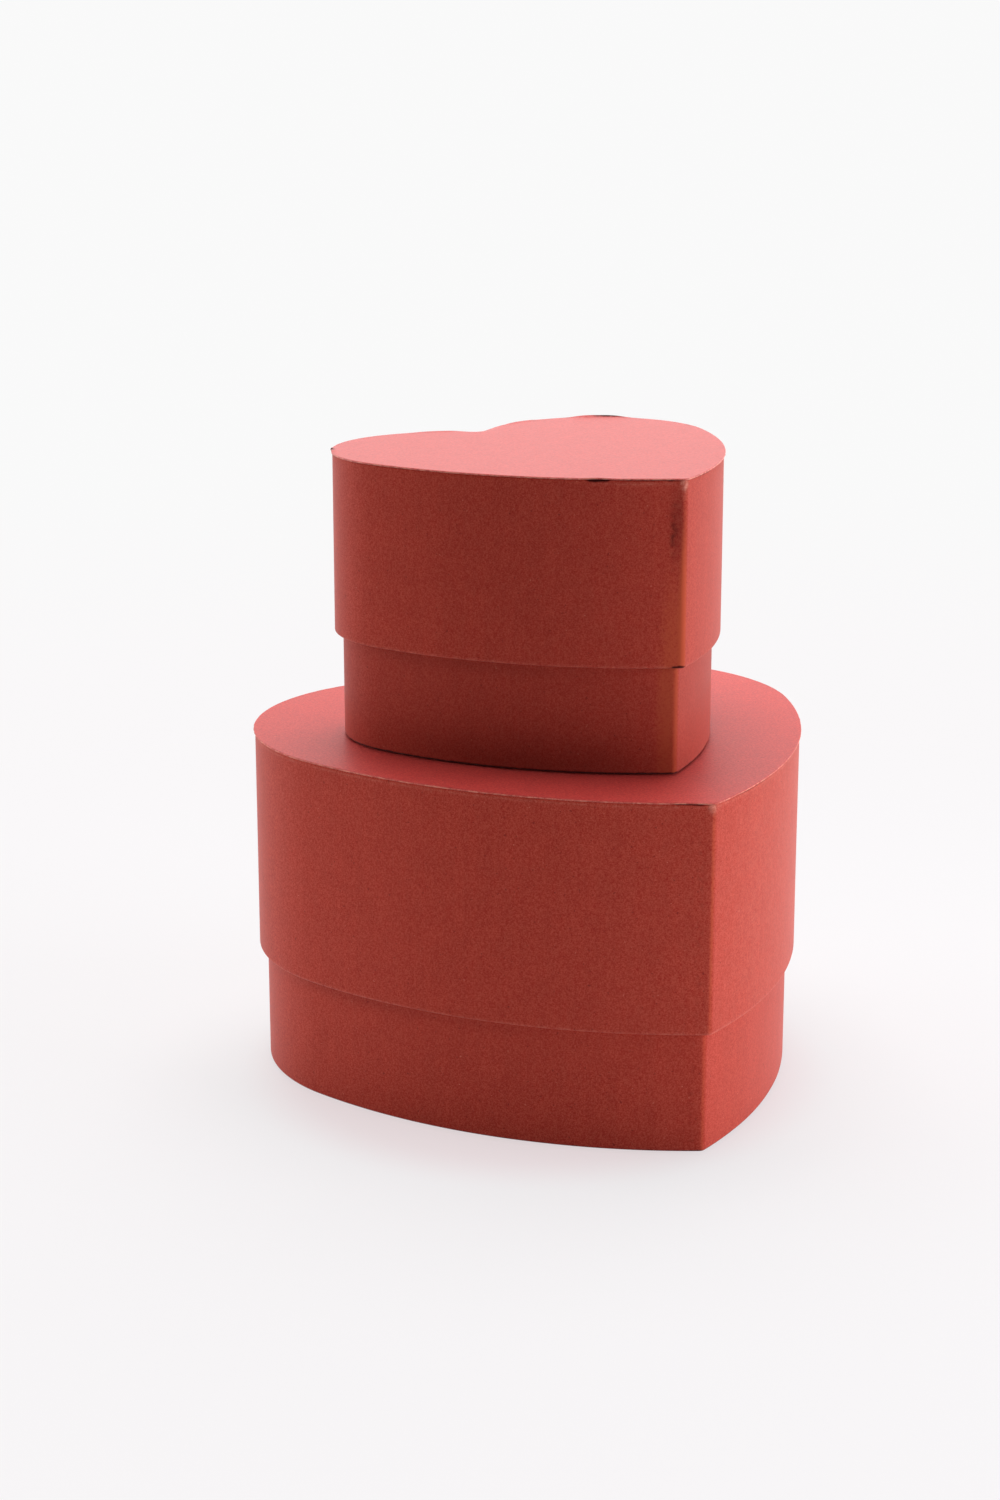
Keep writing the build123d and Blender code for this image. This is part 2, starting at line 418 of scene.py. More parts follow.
def pulp_paper(name, colour, dark, light, grains, rough):
    """Matte paper or board whose colour wanders between a dark and a light pulp; grains are per metre."""
    material, tree, shader = new_material(name)
    place = add_node(tree, "ShaderNodeTexCoord").outputs["Object"]
    fine = noise_texture(tree, place, grains, 3.0, 0.65)
    cloud = noise_texture(tree, place, grains / PULP_CLOUD, 2.0, 0.5)
    tint = mix_colour(tree, remap(tree, fine, 0.32, 0.68), dark, light)
    tint = mix_colour(tree, remap(tree, cloud, 0.3, 0.7, 0.35, 0.65), tint, colour)
    tree.links.new(tint, shader.inputs["Base Color"])
    blur = remap(tree, fine, 0.3, 0.7, rough - ROUGH_SWING, rough + ROUGH_SWING)
    tree.links.new(blur, shader.inputs["Roughness"])
    shader.inputs["Specular IOR Level"].default_value = PULP_SHINE
    relief = {"Strength": PULP_TOOTH, "Distance": BUMP_DEPTH, "Height": fine}
    bump = add_node(tree, "ShaderNodeBump", relief)
    tree.links.new(bump.outputs[0], shader.inputs["Normal"])
    return material


grey_board = pulp_paper(
    "grey_board",
    colour=(0.30, 0.27, 0.23, 1),
    dark=(0.17, 0.155, 0.13, 1),
    light=(0.42, 0.385, 0.33, 1),
    grains=900,
    rough=0.85,
)
lining_cream = pulp_paper(
    "lining_paper",
    colour=(0.72, 0.65, 0.53, 1),
    dark=(0.63, 0.55, 0.43, 1),
    light=(0.80, 0.74, 0.63, 1),
    grains=1200,
    rough=0.8,
)
tape_brown = pulp_paper(
    "seam_tape",
    colour=(0.42, 0.27, 0.14, 1),
    dark=(0.34, 0.20, 0.10, 1),
    light=(0.50, 0.34, 0.19, 1),
    grains=1000,
    rough=0.6,
)

boards = [node for name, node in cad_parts.items() if name.endswith(("board", "band"))]
for node in boards:
    node.data.materials.clear()
    node.data.materials.append(grey_board)
print("boards:", len(boards))

# %% [markdown]
# ## The heart
#
# Every wall of a box follows one outline: a side arc, a lobe arc and a shoulder arc that run into each
# other, mirrored, with a rounded tip and cleft. Writing it as arcs keeps it exact at every depth in the
# wall, from the lip of the top card to the lining, because all depths share the arcs' centres.

# %% The heart
TIP_RADIUS = 3.0 * MM
CLEFT_RADIUS = 6.0 * MM

# Spacing of the points round the wall, which is fine over a short run of the side arc beside the tip
STEP = 1.7 * MM
FINE_STEP = 0.6 * MM
FINE_RUN = 9.0 * MM
LEAST_POINTS = 6
SIDE_ARC = 1


def spread_out(length, fine):
    """Places along an arc, as shares of its length; a fine start keeps detail beside the tip."""
    if not fine:
        return np.linspace(0, 1, max(LEAST_POINTS, math.ceil(length / STEP)), endpoint=False)
    near = np.arange(0, FINE_RUN, FINE_STEP)
    far = np.linspace(FINE_RUN, length, math.ceil((length - FINE_RUN) / STEP), endpoint=False)
    return np.concatenate((near, far)) / length


class Heart:
    """Outline of one box and where it stands on the plan; given in mm and degrees, kept in metres."""

    def __init__(self, width, length, side_radius, lobe_radius, cleft_depth, x=0.0, y=0.0, turn=0.0):
        self.half_width, self.half_length = width * MM / 2, length * MM / 2
        self.side_radius, self.lobe_radius = side_radius * MM, lobe_radius * MM
        self.cleft_depth = cleft_depth * MM
        self.x, self.y, self.turn = x * MM, y * MM, math.radians(turn)

    def arcs(self, shell, depth):
        """Arcs of the right half, from tip to cleft, as (centre, radius, start, end)."""
        lobe_x = self.half_width - self.lobe_radius
        tip = np.array((0, -self.half_length))
        lobe = np.array((lobe_x, self.half_length - self.lobe_radius))
        reach = np.linalg.norm(lobe - tip)
        to_lobe = self.side_radius - self.lobe_radius
        spread = math.acos((self.side_radius**2 + reach**2 - to_lobe**2) / (2 * self.side_radius * reach))
        turn = math.atan2(*(lobe - tip)[::-1]) + spread
        side = tip + self.side_radius * np.array((math.cos(turn), math.sin(turn)))
        shoulder_radius = (lobe_x**2 + self.cleft_depth**2) / (2 * self.cleft_depth)
        shoulder = np.array((lobe_x, self.half_length - shoulder_radius))

        side_outer, shoulder_outer = self.side_radius + shell, shoulder_radius + shell
        tip_y = side[1] - math.sqrt((side_outer - TIP_RADIUS) ** 2 - side[0] ** 2)
        cleft_y = shoulder[1] + math.sqrt((shoulder_outer + CLEFT_RADIUS) ** 2 - lobe_x**2)
        tip_centre, cleft_centre = np.array((0, tip_y)), np.array((0, cleft_y))
        joint = math.atan2(*(lobe - side)[::-1])
        into_cleft = math.atan2(*(cleft_centre - shoulder)[::-1])
        tip_radius = TIP_RADIUS - depth
        if tip_radius > 0:
            leave_tip = math.atan2(*(tip_centre - side)[::-1])
        else:
            leave_tip = -math.acos(-side[0] / (side_outer - depth))
            corner_y = side[1] + (side_outer - depth) * math.sin(leave_tip)
            tip_centre, tip_radius = np.array((0, corner_y)), 0.0
        return [
            (tip_centre, tip_radius, -math.pi / 2, leave_tip),
            (side, side_outer - depth, leave_tip, joint),
            (lobe, self.lobe_radius + shell - depth, joint, math.pi / 2),
            (shoulder, shoulder_outer - depth, math.pi / 2, into_cleft),
            (cleft_centre, CLEFT_RADIUS + depth, into_cleft - math.pi, -math.pi / 2),
        ]

    def outline(self, shell, depth):
        """Points of the whole outline, as an array, anticlockwise from the cleft; alike at every depth."""
        points = []
        lengths = [radius * abs(end - start) for _, radius, start, end in self.arcs(shell, 0)]
        for kind, (centre, radius, start, end) in enumerate(self.arcs(shell, depth)):
            angles = start + (end - start) * spread_out(lengths[kind], fine=kind == SIDE_ARC)
            points.append(centre + radius * np.stack((np.cos(angles), np.sin(angles)), axis=1))
        cleft_y = centre[1] - radius
        right = np.vstack(points + [[(0, cleft_y)]])
        left = right[:0:-1] * (-1, 1)
        return self.place(np.vstack((left, right[:-1])))

    def place(self, points):
        """Points of the heart, turned and moved to where the box stands."""
        c, s = math.cos(self.turn), math.sin(self.turn)
        return points @ np.array(((c, s), (-s, c))) + (self.x, self.y)


hearts = {
    "large": Heart(width=214.0, length=212.2, side_radius=205.4, lobe_radius=72.2, cleft_depth=19.0),
    "small": Heart(
        width=150.1,
        length=138.7,
        side_radius=159.2,
        lobe_radius=38.0,
        cleft_depth=13.8,
        x=-1.5,
        y=-3.0,
        turn=6.3,
    ),
}
for name, heart in hearts.items():
    print(name, "heart:", len(heart.outline(0, 0)), "points round the wall")

# %% [markdown]
# ## A sweep in Geometry Nodes
#
# The wrap, the lining and the tape are all strips of paper with one cross-section, carried round the
# heart. Geometry Nodes do that with Curve to Mesh: the heart is the path and the section is the profile.
# The path's own length is stored on the way, counted from the tip, so that later steps know how far along
# the wall a point is. The tree ends in a plain mesh, so nothing live is left on the piece.

# %% A sweep in Geometry Nodes
# Waves in the paper, per metre, and how far they are drawn out up the wall
WAVES = 28.0
WAVE_STRETCH = (1, 1, 0.35)


def sweep_tree():
    """Node tree that carries a profile along a path and stores each point's distance from the tip."""
    tree = bpy.data.node_groups.new("paper_sweep", "GeometryNodeTree")
    sockets = {
        "Geometry": "Geometry",
        "Profile": "Object",
        "Paper": "Material",
        "Waviness": "Float",
        "Seed": "Float",
    }
    for name, kind in sockets.items():
        tree.interface.new_socket(name, in_out="INPUT", socket_type=f"NodeSocket{kind}")
    tree.interface.new_socket("Geometry", in_out="OUTPUT", socket_type="NodeSocketGeometry")
    given = add_node(tree, "NodeGroupInput").outputs

    # The tip lies half way round the path
    upright = add_node(tree, "GeometryNodeSetCurveNormal", {"Curve": given["Geometry"]}, mode="Z_UP")
    along = add_node(tree, "GeometryNodeSplineParameter").outputs["Length"]
    whole = add_node(tree, "GeometryNodeSplineLength").outputs["Length"]
    from_tip = calc(tree, "SUBTRACT", along, calc(tree, "MULTIPLY", whole, 0.5))
    named = {"Geometry": upright.outputs[0], "Name": "from_tip", "Value": from_tip}
    measured = add_node(tree, "GeometryNodeStoreNamedAttribute", named, data_type="FLOAT", domain="POINT")

    # The path's outward direction goes along with it, for the waves
    path = add_node(tree, "GeometryNodeCaptureAttribute", {"Geometry": measured.outputs[0]}, domain="POINT")
    path.capture_items.new("VECTOR", "Outward")
    tree.links.new(add_node(tree, "GeometryNodeInputNormal").outputs["Normal"], path.inputs["Outward"])
    profile = add_node(tree, "GeometryNodeObjectInfo", {"Object": given["Profile"]}).outputs["Geometry"]
    curves = {"Curve": path.outputs[0], "Profile Curve": profile, "Fill Caps": True}
    swept = add_node(tree, "GeometryNodeCurveToMesh", curves)

    # Slow waves push the paper in and out
    place = add_node(tree, "GeometryNodeInputPosition").outputs[0]
    stretch = {0: place, 1: WAVE_STRETCH}
    tall = add_node(tree, "ShaderNodeVectorMath", stretch, operation="MULTIPLY").outputs[0]
    pattern = {"Vector": tall, "W": given["Seed"], "Scale": WAVES, "Detail": 1.0}
    waves = add_node(tree, "ShaderNodeTexNoise", pattern, noise_dimensions="4D").outputs["Fac"]
    push = calc(tree, "MULTIPLY", calc(tree, "SUBTRACT", waves, 0.5), given["Waviness"])
    outward = {0: path.outputs["Outward"], "Scale": push}
    offset = add_node(tree, "ShaderNodeVectorMath", outward, operation="SCALE").outputs[0]
    wavy = add_node(tree, "GeometryNodeSetPosition", {"Geometry": swept.outputs[0], "Offset": offset})

    real = add_node(tree, "GeometryNodeRealizeInstances", {"Geometry": wavy.outputs[0]})
    finish = {"Geometry": real.outputs[0], "Material": given["Paper"]}
    made = add_node(tree, "GeometryNodeSetMaterial", finish)
    add_node(tree, "NodeGroupOutput", {"Geometry": made.outputs[0]})
    return tree


paper_sweep = sweep_tree()
print(paper_sweep.name, "has", len(paper_sweep.nodes), "nodes")

# %% [markdown]
# ## From curves to a piece
#
# A sweep takes two curves: the path on the plan, and the section across the wall. The mesh that comes out
# becomes a plain piece, with doubles merged, all faces turned outwards and smooth shading up to sharp
# edges. The curves are then removed.

# %% From curves to a piece
MERGE_DISTANCE = 1e-7
SHARP_ANGLE = math.radians(40)


def poly_curve(name, points, closed):
    """Curve object of straight runs through flat points."""
    data = bpy.data.curves.new(name, "CURVE")
    data.dimensions = "3D"
    spline = data.splines.new("POLY")
    spline.points.add(len(points) - 1)
    for spot, point in zip(spline.points, points):
        spot.co = (*point, 0, 1)
    spline.use_cyclic_u = closed
    curve = bpy.data.objects.new(name, data)
    scene.collection.objects.link(curve)
    return curve


def set_inputs(modifier, values):
    """Sets a modifier's inputs by their names."""
    for item in modifier.node_group.interface.items_tree:
        if item.in_out == "INPUT" and item.name in values:
            modifier[item.identifier] = values[item.name]


def face_outwards(mesh):
    """Merges doubles, turns all faces outwards and shades them smooth up to sharp edges."""
    work = bmesh.new()
    work.from_mesh(mesh)
    bmesh.ops.remove_doubles(work, verts=work.verts, dist=MERGE_DISTANCE)
    bmesh.ops.recalc_face_normals(work, faces=work.faces)
    for face in work.faces:
        face.smooth = True
    for edge in work.edges:
        edge.smooth = len(edge.link_faces) == 2 and edge.calc_face_angle(0) < SHARP_ANGLE
    work.to_mesh(mesh)
    work.free()


def plain_mesh(name, source):
    """Piece with the evaluated mesh of an object, its faces outwards; the object itself is removed."""
    depsgraph = bpy.context.evaluated_depsgraph_get()
    mesh = bpy.data.meshes.new_from_object(source.evaluated_get(depsgraph))
    mesh.name = name
    bpy.data.objects.remove(source)
    face_outwards(mesh)
    piece = bpy.data.objects.new(name, mesh)
    scene.collection.objects.link(piece)
    return piece


def sweep(name, path, section, paper, closed=True, waviness=0.0, seed=0.0):
    """Sweeps a section of (depth, height) points along a path on the plan."""
    route = poly_curve(name + "_path", path, closed)
    profile = poly_curve(name + "_section", [(-depth, -height) for depth, height in section], True)
    modifier = route.modifiers.new("sweep", "NODES")
    modifier.node_group = paper_sweep
    set_inputs(modifier, {"Profile": profile, "Paper": paper, "Waviness": waviness, "Seed": seed})
    piece = plain_mesh(name, route)
    bpy.data.objects.remove(profile)
    return piece


# %% [markdown]
# ## Wraps
#
# Each wrap is one sheet of paper: it lies on the wall, folds over the rim and down the inside, and at the
# other end folds flat over the panel. Its section is drawn as a line with rounded folds, then given the
# paper's thickness. The same kind of section, turned upside down, makes the lids' wraps.

# %% Wraps
PAPER = 0.25 * MM
GLUE = 0.1 * MM
WALL_BOARD = 1.7 * MM
LINING = 0.25 * MM
LINING_FACE = PAPER + GLUE + WALL_BOARD + GLUE
TURN_IN_FACE = LINING_FACE + LINING + GLUE
INNER_FACE = TURN_IN_FACE + PAPER
TURN_IN = 15.0 * MM
FOLD_RADIUS = {"base": 1.0 * MM, "lid": 0.5 * MM}
RIM_RADIUS = 0.55 * MM
FLAP_END = 2.7 * MM
WAVINESS = 0.3 * MM
SEED_STEP = 3.7

# Points in a rounded fold and down the turned-in edge, and rows up the middle of a wall with both its ends
FOLD_POINTS = 6
TURN_IN_ROWS = 6
MIDDLE_ROWS = 14

# Rows close to a wall's fold and rim, and above and below the end of a lid on it
NEAR_FOLD = np.array((1.1, 1.4, 1.8, 2.5, 3.5, 5.2, 8.0)) * MM
NEAR_RIM = np.array((8.0, 5.2, 3.5, 2.4, 1.7, 1.3, 0.9)) * MM
NEAR_LID_END = np.array((-8, -5.5, -3.5, -2, -1, -0.3, 0.5, 2)) * MM


def bend(centre, radius, start, end):
    """Points of a rounded fold in the section."""
    angles = np.radians(np.linspace(start, end, FOLD_POINTS))
    return [(centre[0] + radius * math.cos(a), centre[1] + radius * math.sin(a)) for a in angles]


def wall_rows(tall, lid_end):
    """Heights of the points up a wall, close together at both ends and where a lid ends on it."""
    below_rim = tall - NEAR_RIM
    middle = np.linspace(NEAR_FOLD[-1], below_rim[0], MIDDLE_ROWS)[1:-1]
    rows = np.concatenate((NEAR_FOLD, middle, below_rim))
    if lid_end:
        rows = np.append(rows, lid_end + NEAR_LID_END)
    return np.sort(rows)


def wrap_section(fold, rim, fold_radius, lid_end):
    """Closed section of a wrap, as (depth, height): its outer face, then its inner face back again."""
    up = math.copysign(1, rim - fold)
    tall = abs(rim - fold)
    faces = []
    for skin in (0.0, PAPER):
        line = [(FLAP_END, skin)]
        line += bend((fold_radius, fold_radius), fold_radius - skin, -90, -180)
        line += [(skin, height) for height in wall_rows(tall, lid_end)]
        line += bend((RIM_RADIUS, tall - RIM_RADIUS), RIM_RADIUS - skin, 180, 90)
        line += bend((INNER_FACE - RIM_RADIUS, tall - RIM_RADIUS), RIM_RADIUS - skin, 90, 0)
        turned_in = np.linspace(tall - RIM_RADIUS, tall - TURN_IN, TURN_IN_ROWS)[1:]
        line += [(INNER_FACE - skin, height) for height in turned_in]
        faces.append(line)
    loop = faces[0] + faces[1][::-1]
    return [(depth, fold + up * height) for depth, height in loop]


LID_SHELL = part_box("large_lid_wrap")[1].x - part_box("large_base_wrap")[1].x
shells = {"base": 0.0, "lid": LID_SHELL}
levels = {}
for size in hearts:
    low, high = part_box(f"{size}_base_wrap")
    levels[size, "base"] = (low.z, high.z)
    low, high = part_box(f"{size}_lid_wrap")
    levels[size, "lid"] = (high.z, low.z)

# How far above the foot of each base its lid ends; on a lid nothing ends
lid_ends = {(size, "base"): levels[size, "lid"][1] - levels[size, "base"][0] for size in hearts}
lid_ends |= {(size, "lid"): None for size in hearts}

wraps = {}
for number, ((size, side), (fold, rim)) in enumerate(levels.items()):
    path = hearts[size].outline(shells[side], 0)
    section = wrap_section(fold, rim, FOLD_RADIUS[side], lid_ends[size, side])
    name = f"{size}_{side}_wrap_paper"
    piece = sweep(name, path, section, wrap_red, waviness=WAVINESS, seed=SEED_STEP * number)
    wraps[size, side] = piece
    print(piece.name, len(piece.data.polygons), "faces")

# %% [markdown]
# ## Wear and painted shade on the wraps
#
# Hands and shelves have left their marks: the points of the hearts are rubbed, the small lid is soiled
# beside its point, and some folds are pale with wear. Other marks are painted light and shade: a split in the
# small lid's rim beside its point is painted dark rather than cut, dark lines along the foot and under the
# card lips are painted shadow, bands under the lids' rims and over the small box are painted shade, and the
# lids' rims carry a painted highlight. Each mark is a soft patch on the wall. It is placed by its distance
# along the wall from the point, with the left side negative, and by its distance from the fold. A patch with
# a very long reach is a line all the way round.

# %% Wear and painted shade on the wraps
ALL_ROUND = 10000
LID_RISE = {size: abs(levels[size, "lid"][1] - levels[size, "lid"][0]) / MM for size in hearts}
REVEAL = {size: lid_ends[size, "base"] / MM for size in hearts}

# Each mark: its kind, strength, centre (along, from fold) and reach (along, from fold), in mm
MARKS = {
    ("large", "base"): [
        ("rubbed", 0.50, (-0.3, 20), (0.9, 90)),
        ("soiled", 0.34, (-4.5, 20), (3.0, 60)),
        # Painted shadow: a dark line along the foot
        ("soiled", 0.80, (0, 0), (ALL_ROUND, 0.7)),
        # Painted shade under the lid's rim
        ("painted_shade", 0.20, (-140, REVEAL["large"] - 2.2), (70, 3.0)),
    ],
    ("large", "lid"): [
        ("rubbed", 0.62, (-0.3, 40), (0.9, 90)),
        ("soiled", 0.36, (-4.5, 40), (3.0, 70)),
        # Painted shadow: dark lines under the card's lip, left and right of the point
        ("soiled", 0.80, (-10, 0.1), (5.5, 0.35)),
        ("soiled", 0.85, (30, 0.2), (32, 0.5)),
        ("pale", 1.00, (-0.6, 1.0), (1.3, 1.6)),
        ("pale", 0.07, (70, 40), (75, 90)),
        ("pale", 0.14, (0, 1.3), (ALL_ROUND, 0.4)),
        # Painted highlight along the lid's rim
        ("pale", 0.16, (0, LID_RISE["large"] - 0.3), (ALL_ROUND, 0.6)),
    ],
    ("small", "base"): [
        ("rubbed", 0.72, (-3.6, 20), (5.2, 60)),
        ("rubbed", 0.40, (-0.2, 20), (0.9, 60)),
        # Painted shadow: a dark line along the foot
        ("soiled", 1.00, (0, 0), (ALL_ROUND, 0.9)),
        # Painted shade over the whole wall, more at the foot and under the lid's rim
        ("painted_shade", 0.23, (0, 20), (ALL_ROUND, 60)),
        ("painted_shade", 0.36, (-50, 0), (60, 13)),
        ("painted_shade", 0.15, (-85, REVEAL["small"] - 2.2), (55, 3.0)),
    ],
    ("small", "lid"): [
        ("rubbed", 0.92, (-0.3, 50), (1.3, 42)),
        ("rubbed", 0.66, (-4.2, 62), (6.2, 36)),
        ("soiled", 0.56, (-4.4, 19), (2.4, 18)),
        # Painted shade in a strip beside the point
        ("painted_shade", 0.33, (-2.6, 15), (2.6, 13)),
        # Painted shadow: dark lines under the card's lip
        ("soiled", 1.00, (-32, 0.2), (4.8, 0.75)),
        ("soiled", 0.66, (-15, 0.1), (13, 0.4)),
        ("soiled", 1.00, (-158, 0.3), (3, 0.8)),
        ("soiled", 0.80, (20, 0.2), (20, 0.5)),
        # Painted shadow in place of a split in the rim beside the point
        ("soiled", 1.30, (-1.7, LID_RISE["small"] - 0.35), (3.1, 0.75)),
        # Painted shade over the whole wall, more on the left
        ("painted_shade", 0.09, (0, 35), (ALL_ROUND, 120)),
        ("painted_shade", 0.06, (-45, 35), (40, 120)),
        ("pale", 1.00, (-0.5, 1.6), (1.3, 2.6)),
        ("pale", 0.24, (-15, 1.4), (14, 0.4)),
        # Painted highlight along the lid's rim
        ("pale", 0.16, (0, LID_RISE["small"] - 0.3), (ALL_ROUND, 0.6)),
    ],
}
print("marks on the wraps:", sum(len(marks) for marks in MARKS.values()))

# %% [markdown]
# ## Storing the wear and painted shade
#
# The marks are added up at every point of a wrap's mesh, one sum for each kind, and stored there for the
# shader. Each wrap is then finished: it rides on its base or lid, and stands for the wrap of the solid model.

# %% Storing the wear and painted shade
KINDS_OF_WEAR_AND_SHADE = ("rubbed", "soiled", "painted_shade", "pale")


def finish_piece(piece, body, node):
    """Says what a finished piece rides on, and hides the solid it stands for."""
    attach(piece, body)
    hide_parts(node)


def store(mesh, name, values):
    """Stores one number per vertex on a mesh."""
    layer = mesh.attributes.get(name) or mesh.attributes.new(name, "FLOAT", "POINT")
    layer.data.foreach_set("value", np.broadcast_to(values, len(mesh.vertices)).astype(np.float32))


def stored(mesh, name):
    """Numbers stored on a mesh, one per vertex, as an array."""
    values = np.zeros(len(mesh.vertices), np.float32)
    mesh.attributes[name].data.foreach_get("value", values)
    return values.astype(float)


def heights(mesh):
    """Height of each vertex of a mesh, as an array."""
    places = np.zeros(len(mesh.vertices) * 3, np.float32)
    mesh.vertices.foreach_get("co", places)
    return places[2::3].astype(float)


def mark_paper(mesh, **wear_and_shade):
    """Stores the wear, painted shade and painted highlights that the red paper's shader reads; what is not
    given is none.
    """
    for kind in KINDS_OF_WEAR_AND_SHADE:
        store(mesh, kind, np.clip(wear_and_shade.get(kind, 0.0), 0, 1))


def patch(along, down, centre, reach):
    """Soft patch, 1 in its middle and about a third at its reach; all in mm."""
    return np.exp(-(((along - centre[0]) / reach[0]) ** 2) - ((down - centre[1]) / reach[1]) ** 2)


def wear_and_shade(size, side, along, mesh):
    """Amounts of each kind of wear, painted shade and painted highlight on a wrap's mesh, from the table of
    marks.
    """
    down = np.abs(heights(mesh) - levels[size, side][0]) / MM
    amounts = {}
    for kind, strength, centre, reach in MARKS[size, side]:
        amounts[kind] = amounts.get(kind, 0) + strength * patch(along, down, centre, reach)
    return amounts


for (size, side), piece in wraps.items():
    mark_paper(piece.data, **wear_and_shade(size, side, stored(piece.data, "from_tip") / MM, piece.data))
    finish_piece(piece, f"{size}_{side}", f"{size}_{side}_wrap")
    print(piece.name, "has", len(MARKS[size, side]), "marks")

# %% [markdown]
# ## Lap seams
#
# A wrap is a strip, so its end laps over its beginning. The lap lies just left of the cleft, where it shows
# least, and stands one paper thickness proud. It is a short open sweep of the same outline, sunk a little
# into the wrap so that no gap shows under its edges.

# %% Lap seams
LAP_START = 7.0 * MM
LAP_WIDTH = 12.0 * MM
LAP_SINK = 0.1 * MM

for (size, side), (fold, rim) in levels.items():
    outline = hearts[size].outline(shells[side], 0)
    run = np.cumsum(np.linalg.norm(np.diff(outline, axis=0), axis=1))
    first, last = np.searchsorted(run, (LAP_START, LAP_START + LAP_WIDTH))
    rows = fold + math.copysign(1, rim - fold) * wall_rows(abs(rim - fold), lid_ends[size, side])
    section = [(-PAPER, height) for height in rows] + [(LAP_SINK, height) for height in rows[::-1]]
    lap = sweep(f"{size}_{side}_wrap_lap", outline[first:last + 1], section, wrap_red, closed=False)
    mark_paper(lap.data, **wear_and_shade(size, side, run[-1] / MM / 2, lap.data))
    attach(lap, f"{size}_{side}")
print("lap seams:", len(levels))

# %% [markdown]
# ## Flat hearts
#
# A flat heart is built from rings of the outline at growing depth, closed in the middle. A plain extrusion
# would do for the shape, but the rings give the edge rows of points, which the next steps can bend. The
# edge is rounded above and only eased below, as a cut card's is.

# %% Flat hearts
EDGE_TURNS = np.radians((0, 30, 60, 90))
UNDER_ROUND = 0.2


def flat_rings(heart, shell, edge, low, high, rounding, depths):
    """Rings of a flat sheet, from inside its top over the rounded edge to inside its underside."""
    plan = [(edge + depth, high) for depth in reversed(depths)]
    for turn in EDGE_TURNS:
        plan.append((edge + rounding * (1 - math.sin(turn)), high - rounding * (1 - math.cos(turn))))
    plan += [(edge, low + UNDER_ROUND * rounding), (edge + UNDER_ROUND * rounding, low)]
    plan += [(edge + depth, low) for depth in depths]
    rings = []
    for depth, height in plan:
        outline = heart.outline(shell, depth)
        rings.append(np.column_stack((outline, np.full(len(outline), height))))
    return rings, [depth - edge for depth, _ in plan]


def tip_distances(outline):
    """Distance of each point along an outline from its tip, negative on the left."""
    steps = np.linalg.norm(np.roll(outline, -1, axis=0) - outline, axis=1)
    along = np.concatenate(((0,), np.cumsum(steps)[:-1]))
    return along - along[len(along) // 2]


def ring_sheet(name, rings, depths, paper):
    """Closed sheet through rings of points, which stores each point's place along and in from the edge."""
    count = len(rings[0])
    here = np.arange(count)
    there = np.roll(here, -1)
    faces = []
    for row in range(len(rings) - 1):
        a, b = row * count, (row + 1) * count
        faces += np.column_stack((a + here, a + there, b + there, b + here)).tolist()
    faces += [here.tolist(), (here + (len(rings) - 1) * count).tolist()]
    mesh = bpy.data.meshes.new(name)
    mesh.from_pydata(np.vstack(rings), [], faces)
    mesh.materials.append(paper)
    store(mesh, "from_edge", np.repeat(depths, count))
    store(mesh, "from_tip", np.tile(tip_distances(rings[np.argmin(depths)][:, :2]), len(rings)))
    face_outwards(mesh)
    piece = bpy.data.objects.new(name, mesh)
    scene.collection.objects.link(piece)
    return piece


# %% [markdown]
# ## Top cards
#
# The red card on each lid has a cut edge: it wanders a little, shows pale fibre, and lifts where the glue has
# let go. At the cleft of the small lid it is pressed down instead. Where the small card's edge lifts at the
# back, it is painted dark as shade.

# %% Top cards
TOP_LIP = 0.6 * MM
CARD_ROUND = 0.42 * MM
LIFT_REACH = 3.5 * MM
EDGE_WANDER = 0.15 * MM
WANDERS_PER_MM = 0.3
WANDER_SEED = 5
CUT_EDGE_PALE = 0.6
CUT_EDGE_MM = 0.1
CARD_DEPTHS = np.array((0.5, 1.0, 1.7, 2.5, 3.5, 6, 12, 20)) * MM

# Where a card stands off or is pressed down: distance along its edge from the point, half length and
# height, in mm; the two ends of the small card's edge meet in the cleft at 241 mm
LIFTS = {
    "large": [(-10, 5.5, 0.22)],
    "small": [
        (-15, 13, 0.16),
        (-32, 4.5, 0.35),
        (176, 11, 0.9),
        (-158.5, 5, 0.6),
        (-226, 11, 0.3),
        (-241, 9, -0.45),
        (241, 14, -0.45),
        (212, 8, 0.35),
    ],
}

# Where a lifted card edge is painted dark as shade: distance along it from the point, half length and depth,
# in mm
PAINTED_EDGE_SHADE = {
    "large": [],
    "small": [(172, 8.5, 2.2), (-158.5, 3.5, 2.0)],
}

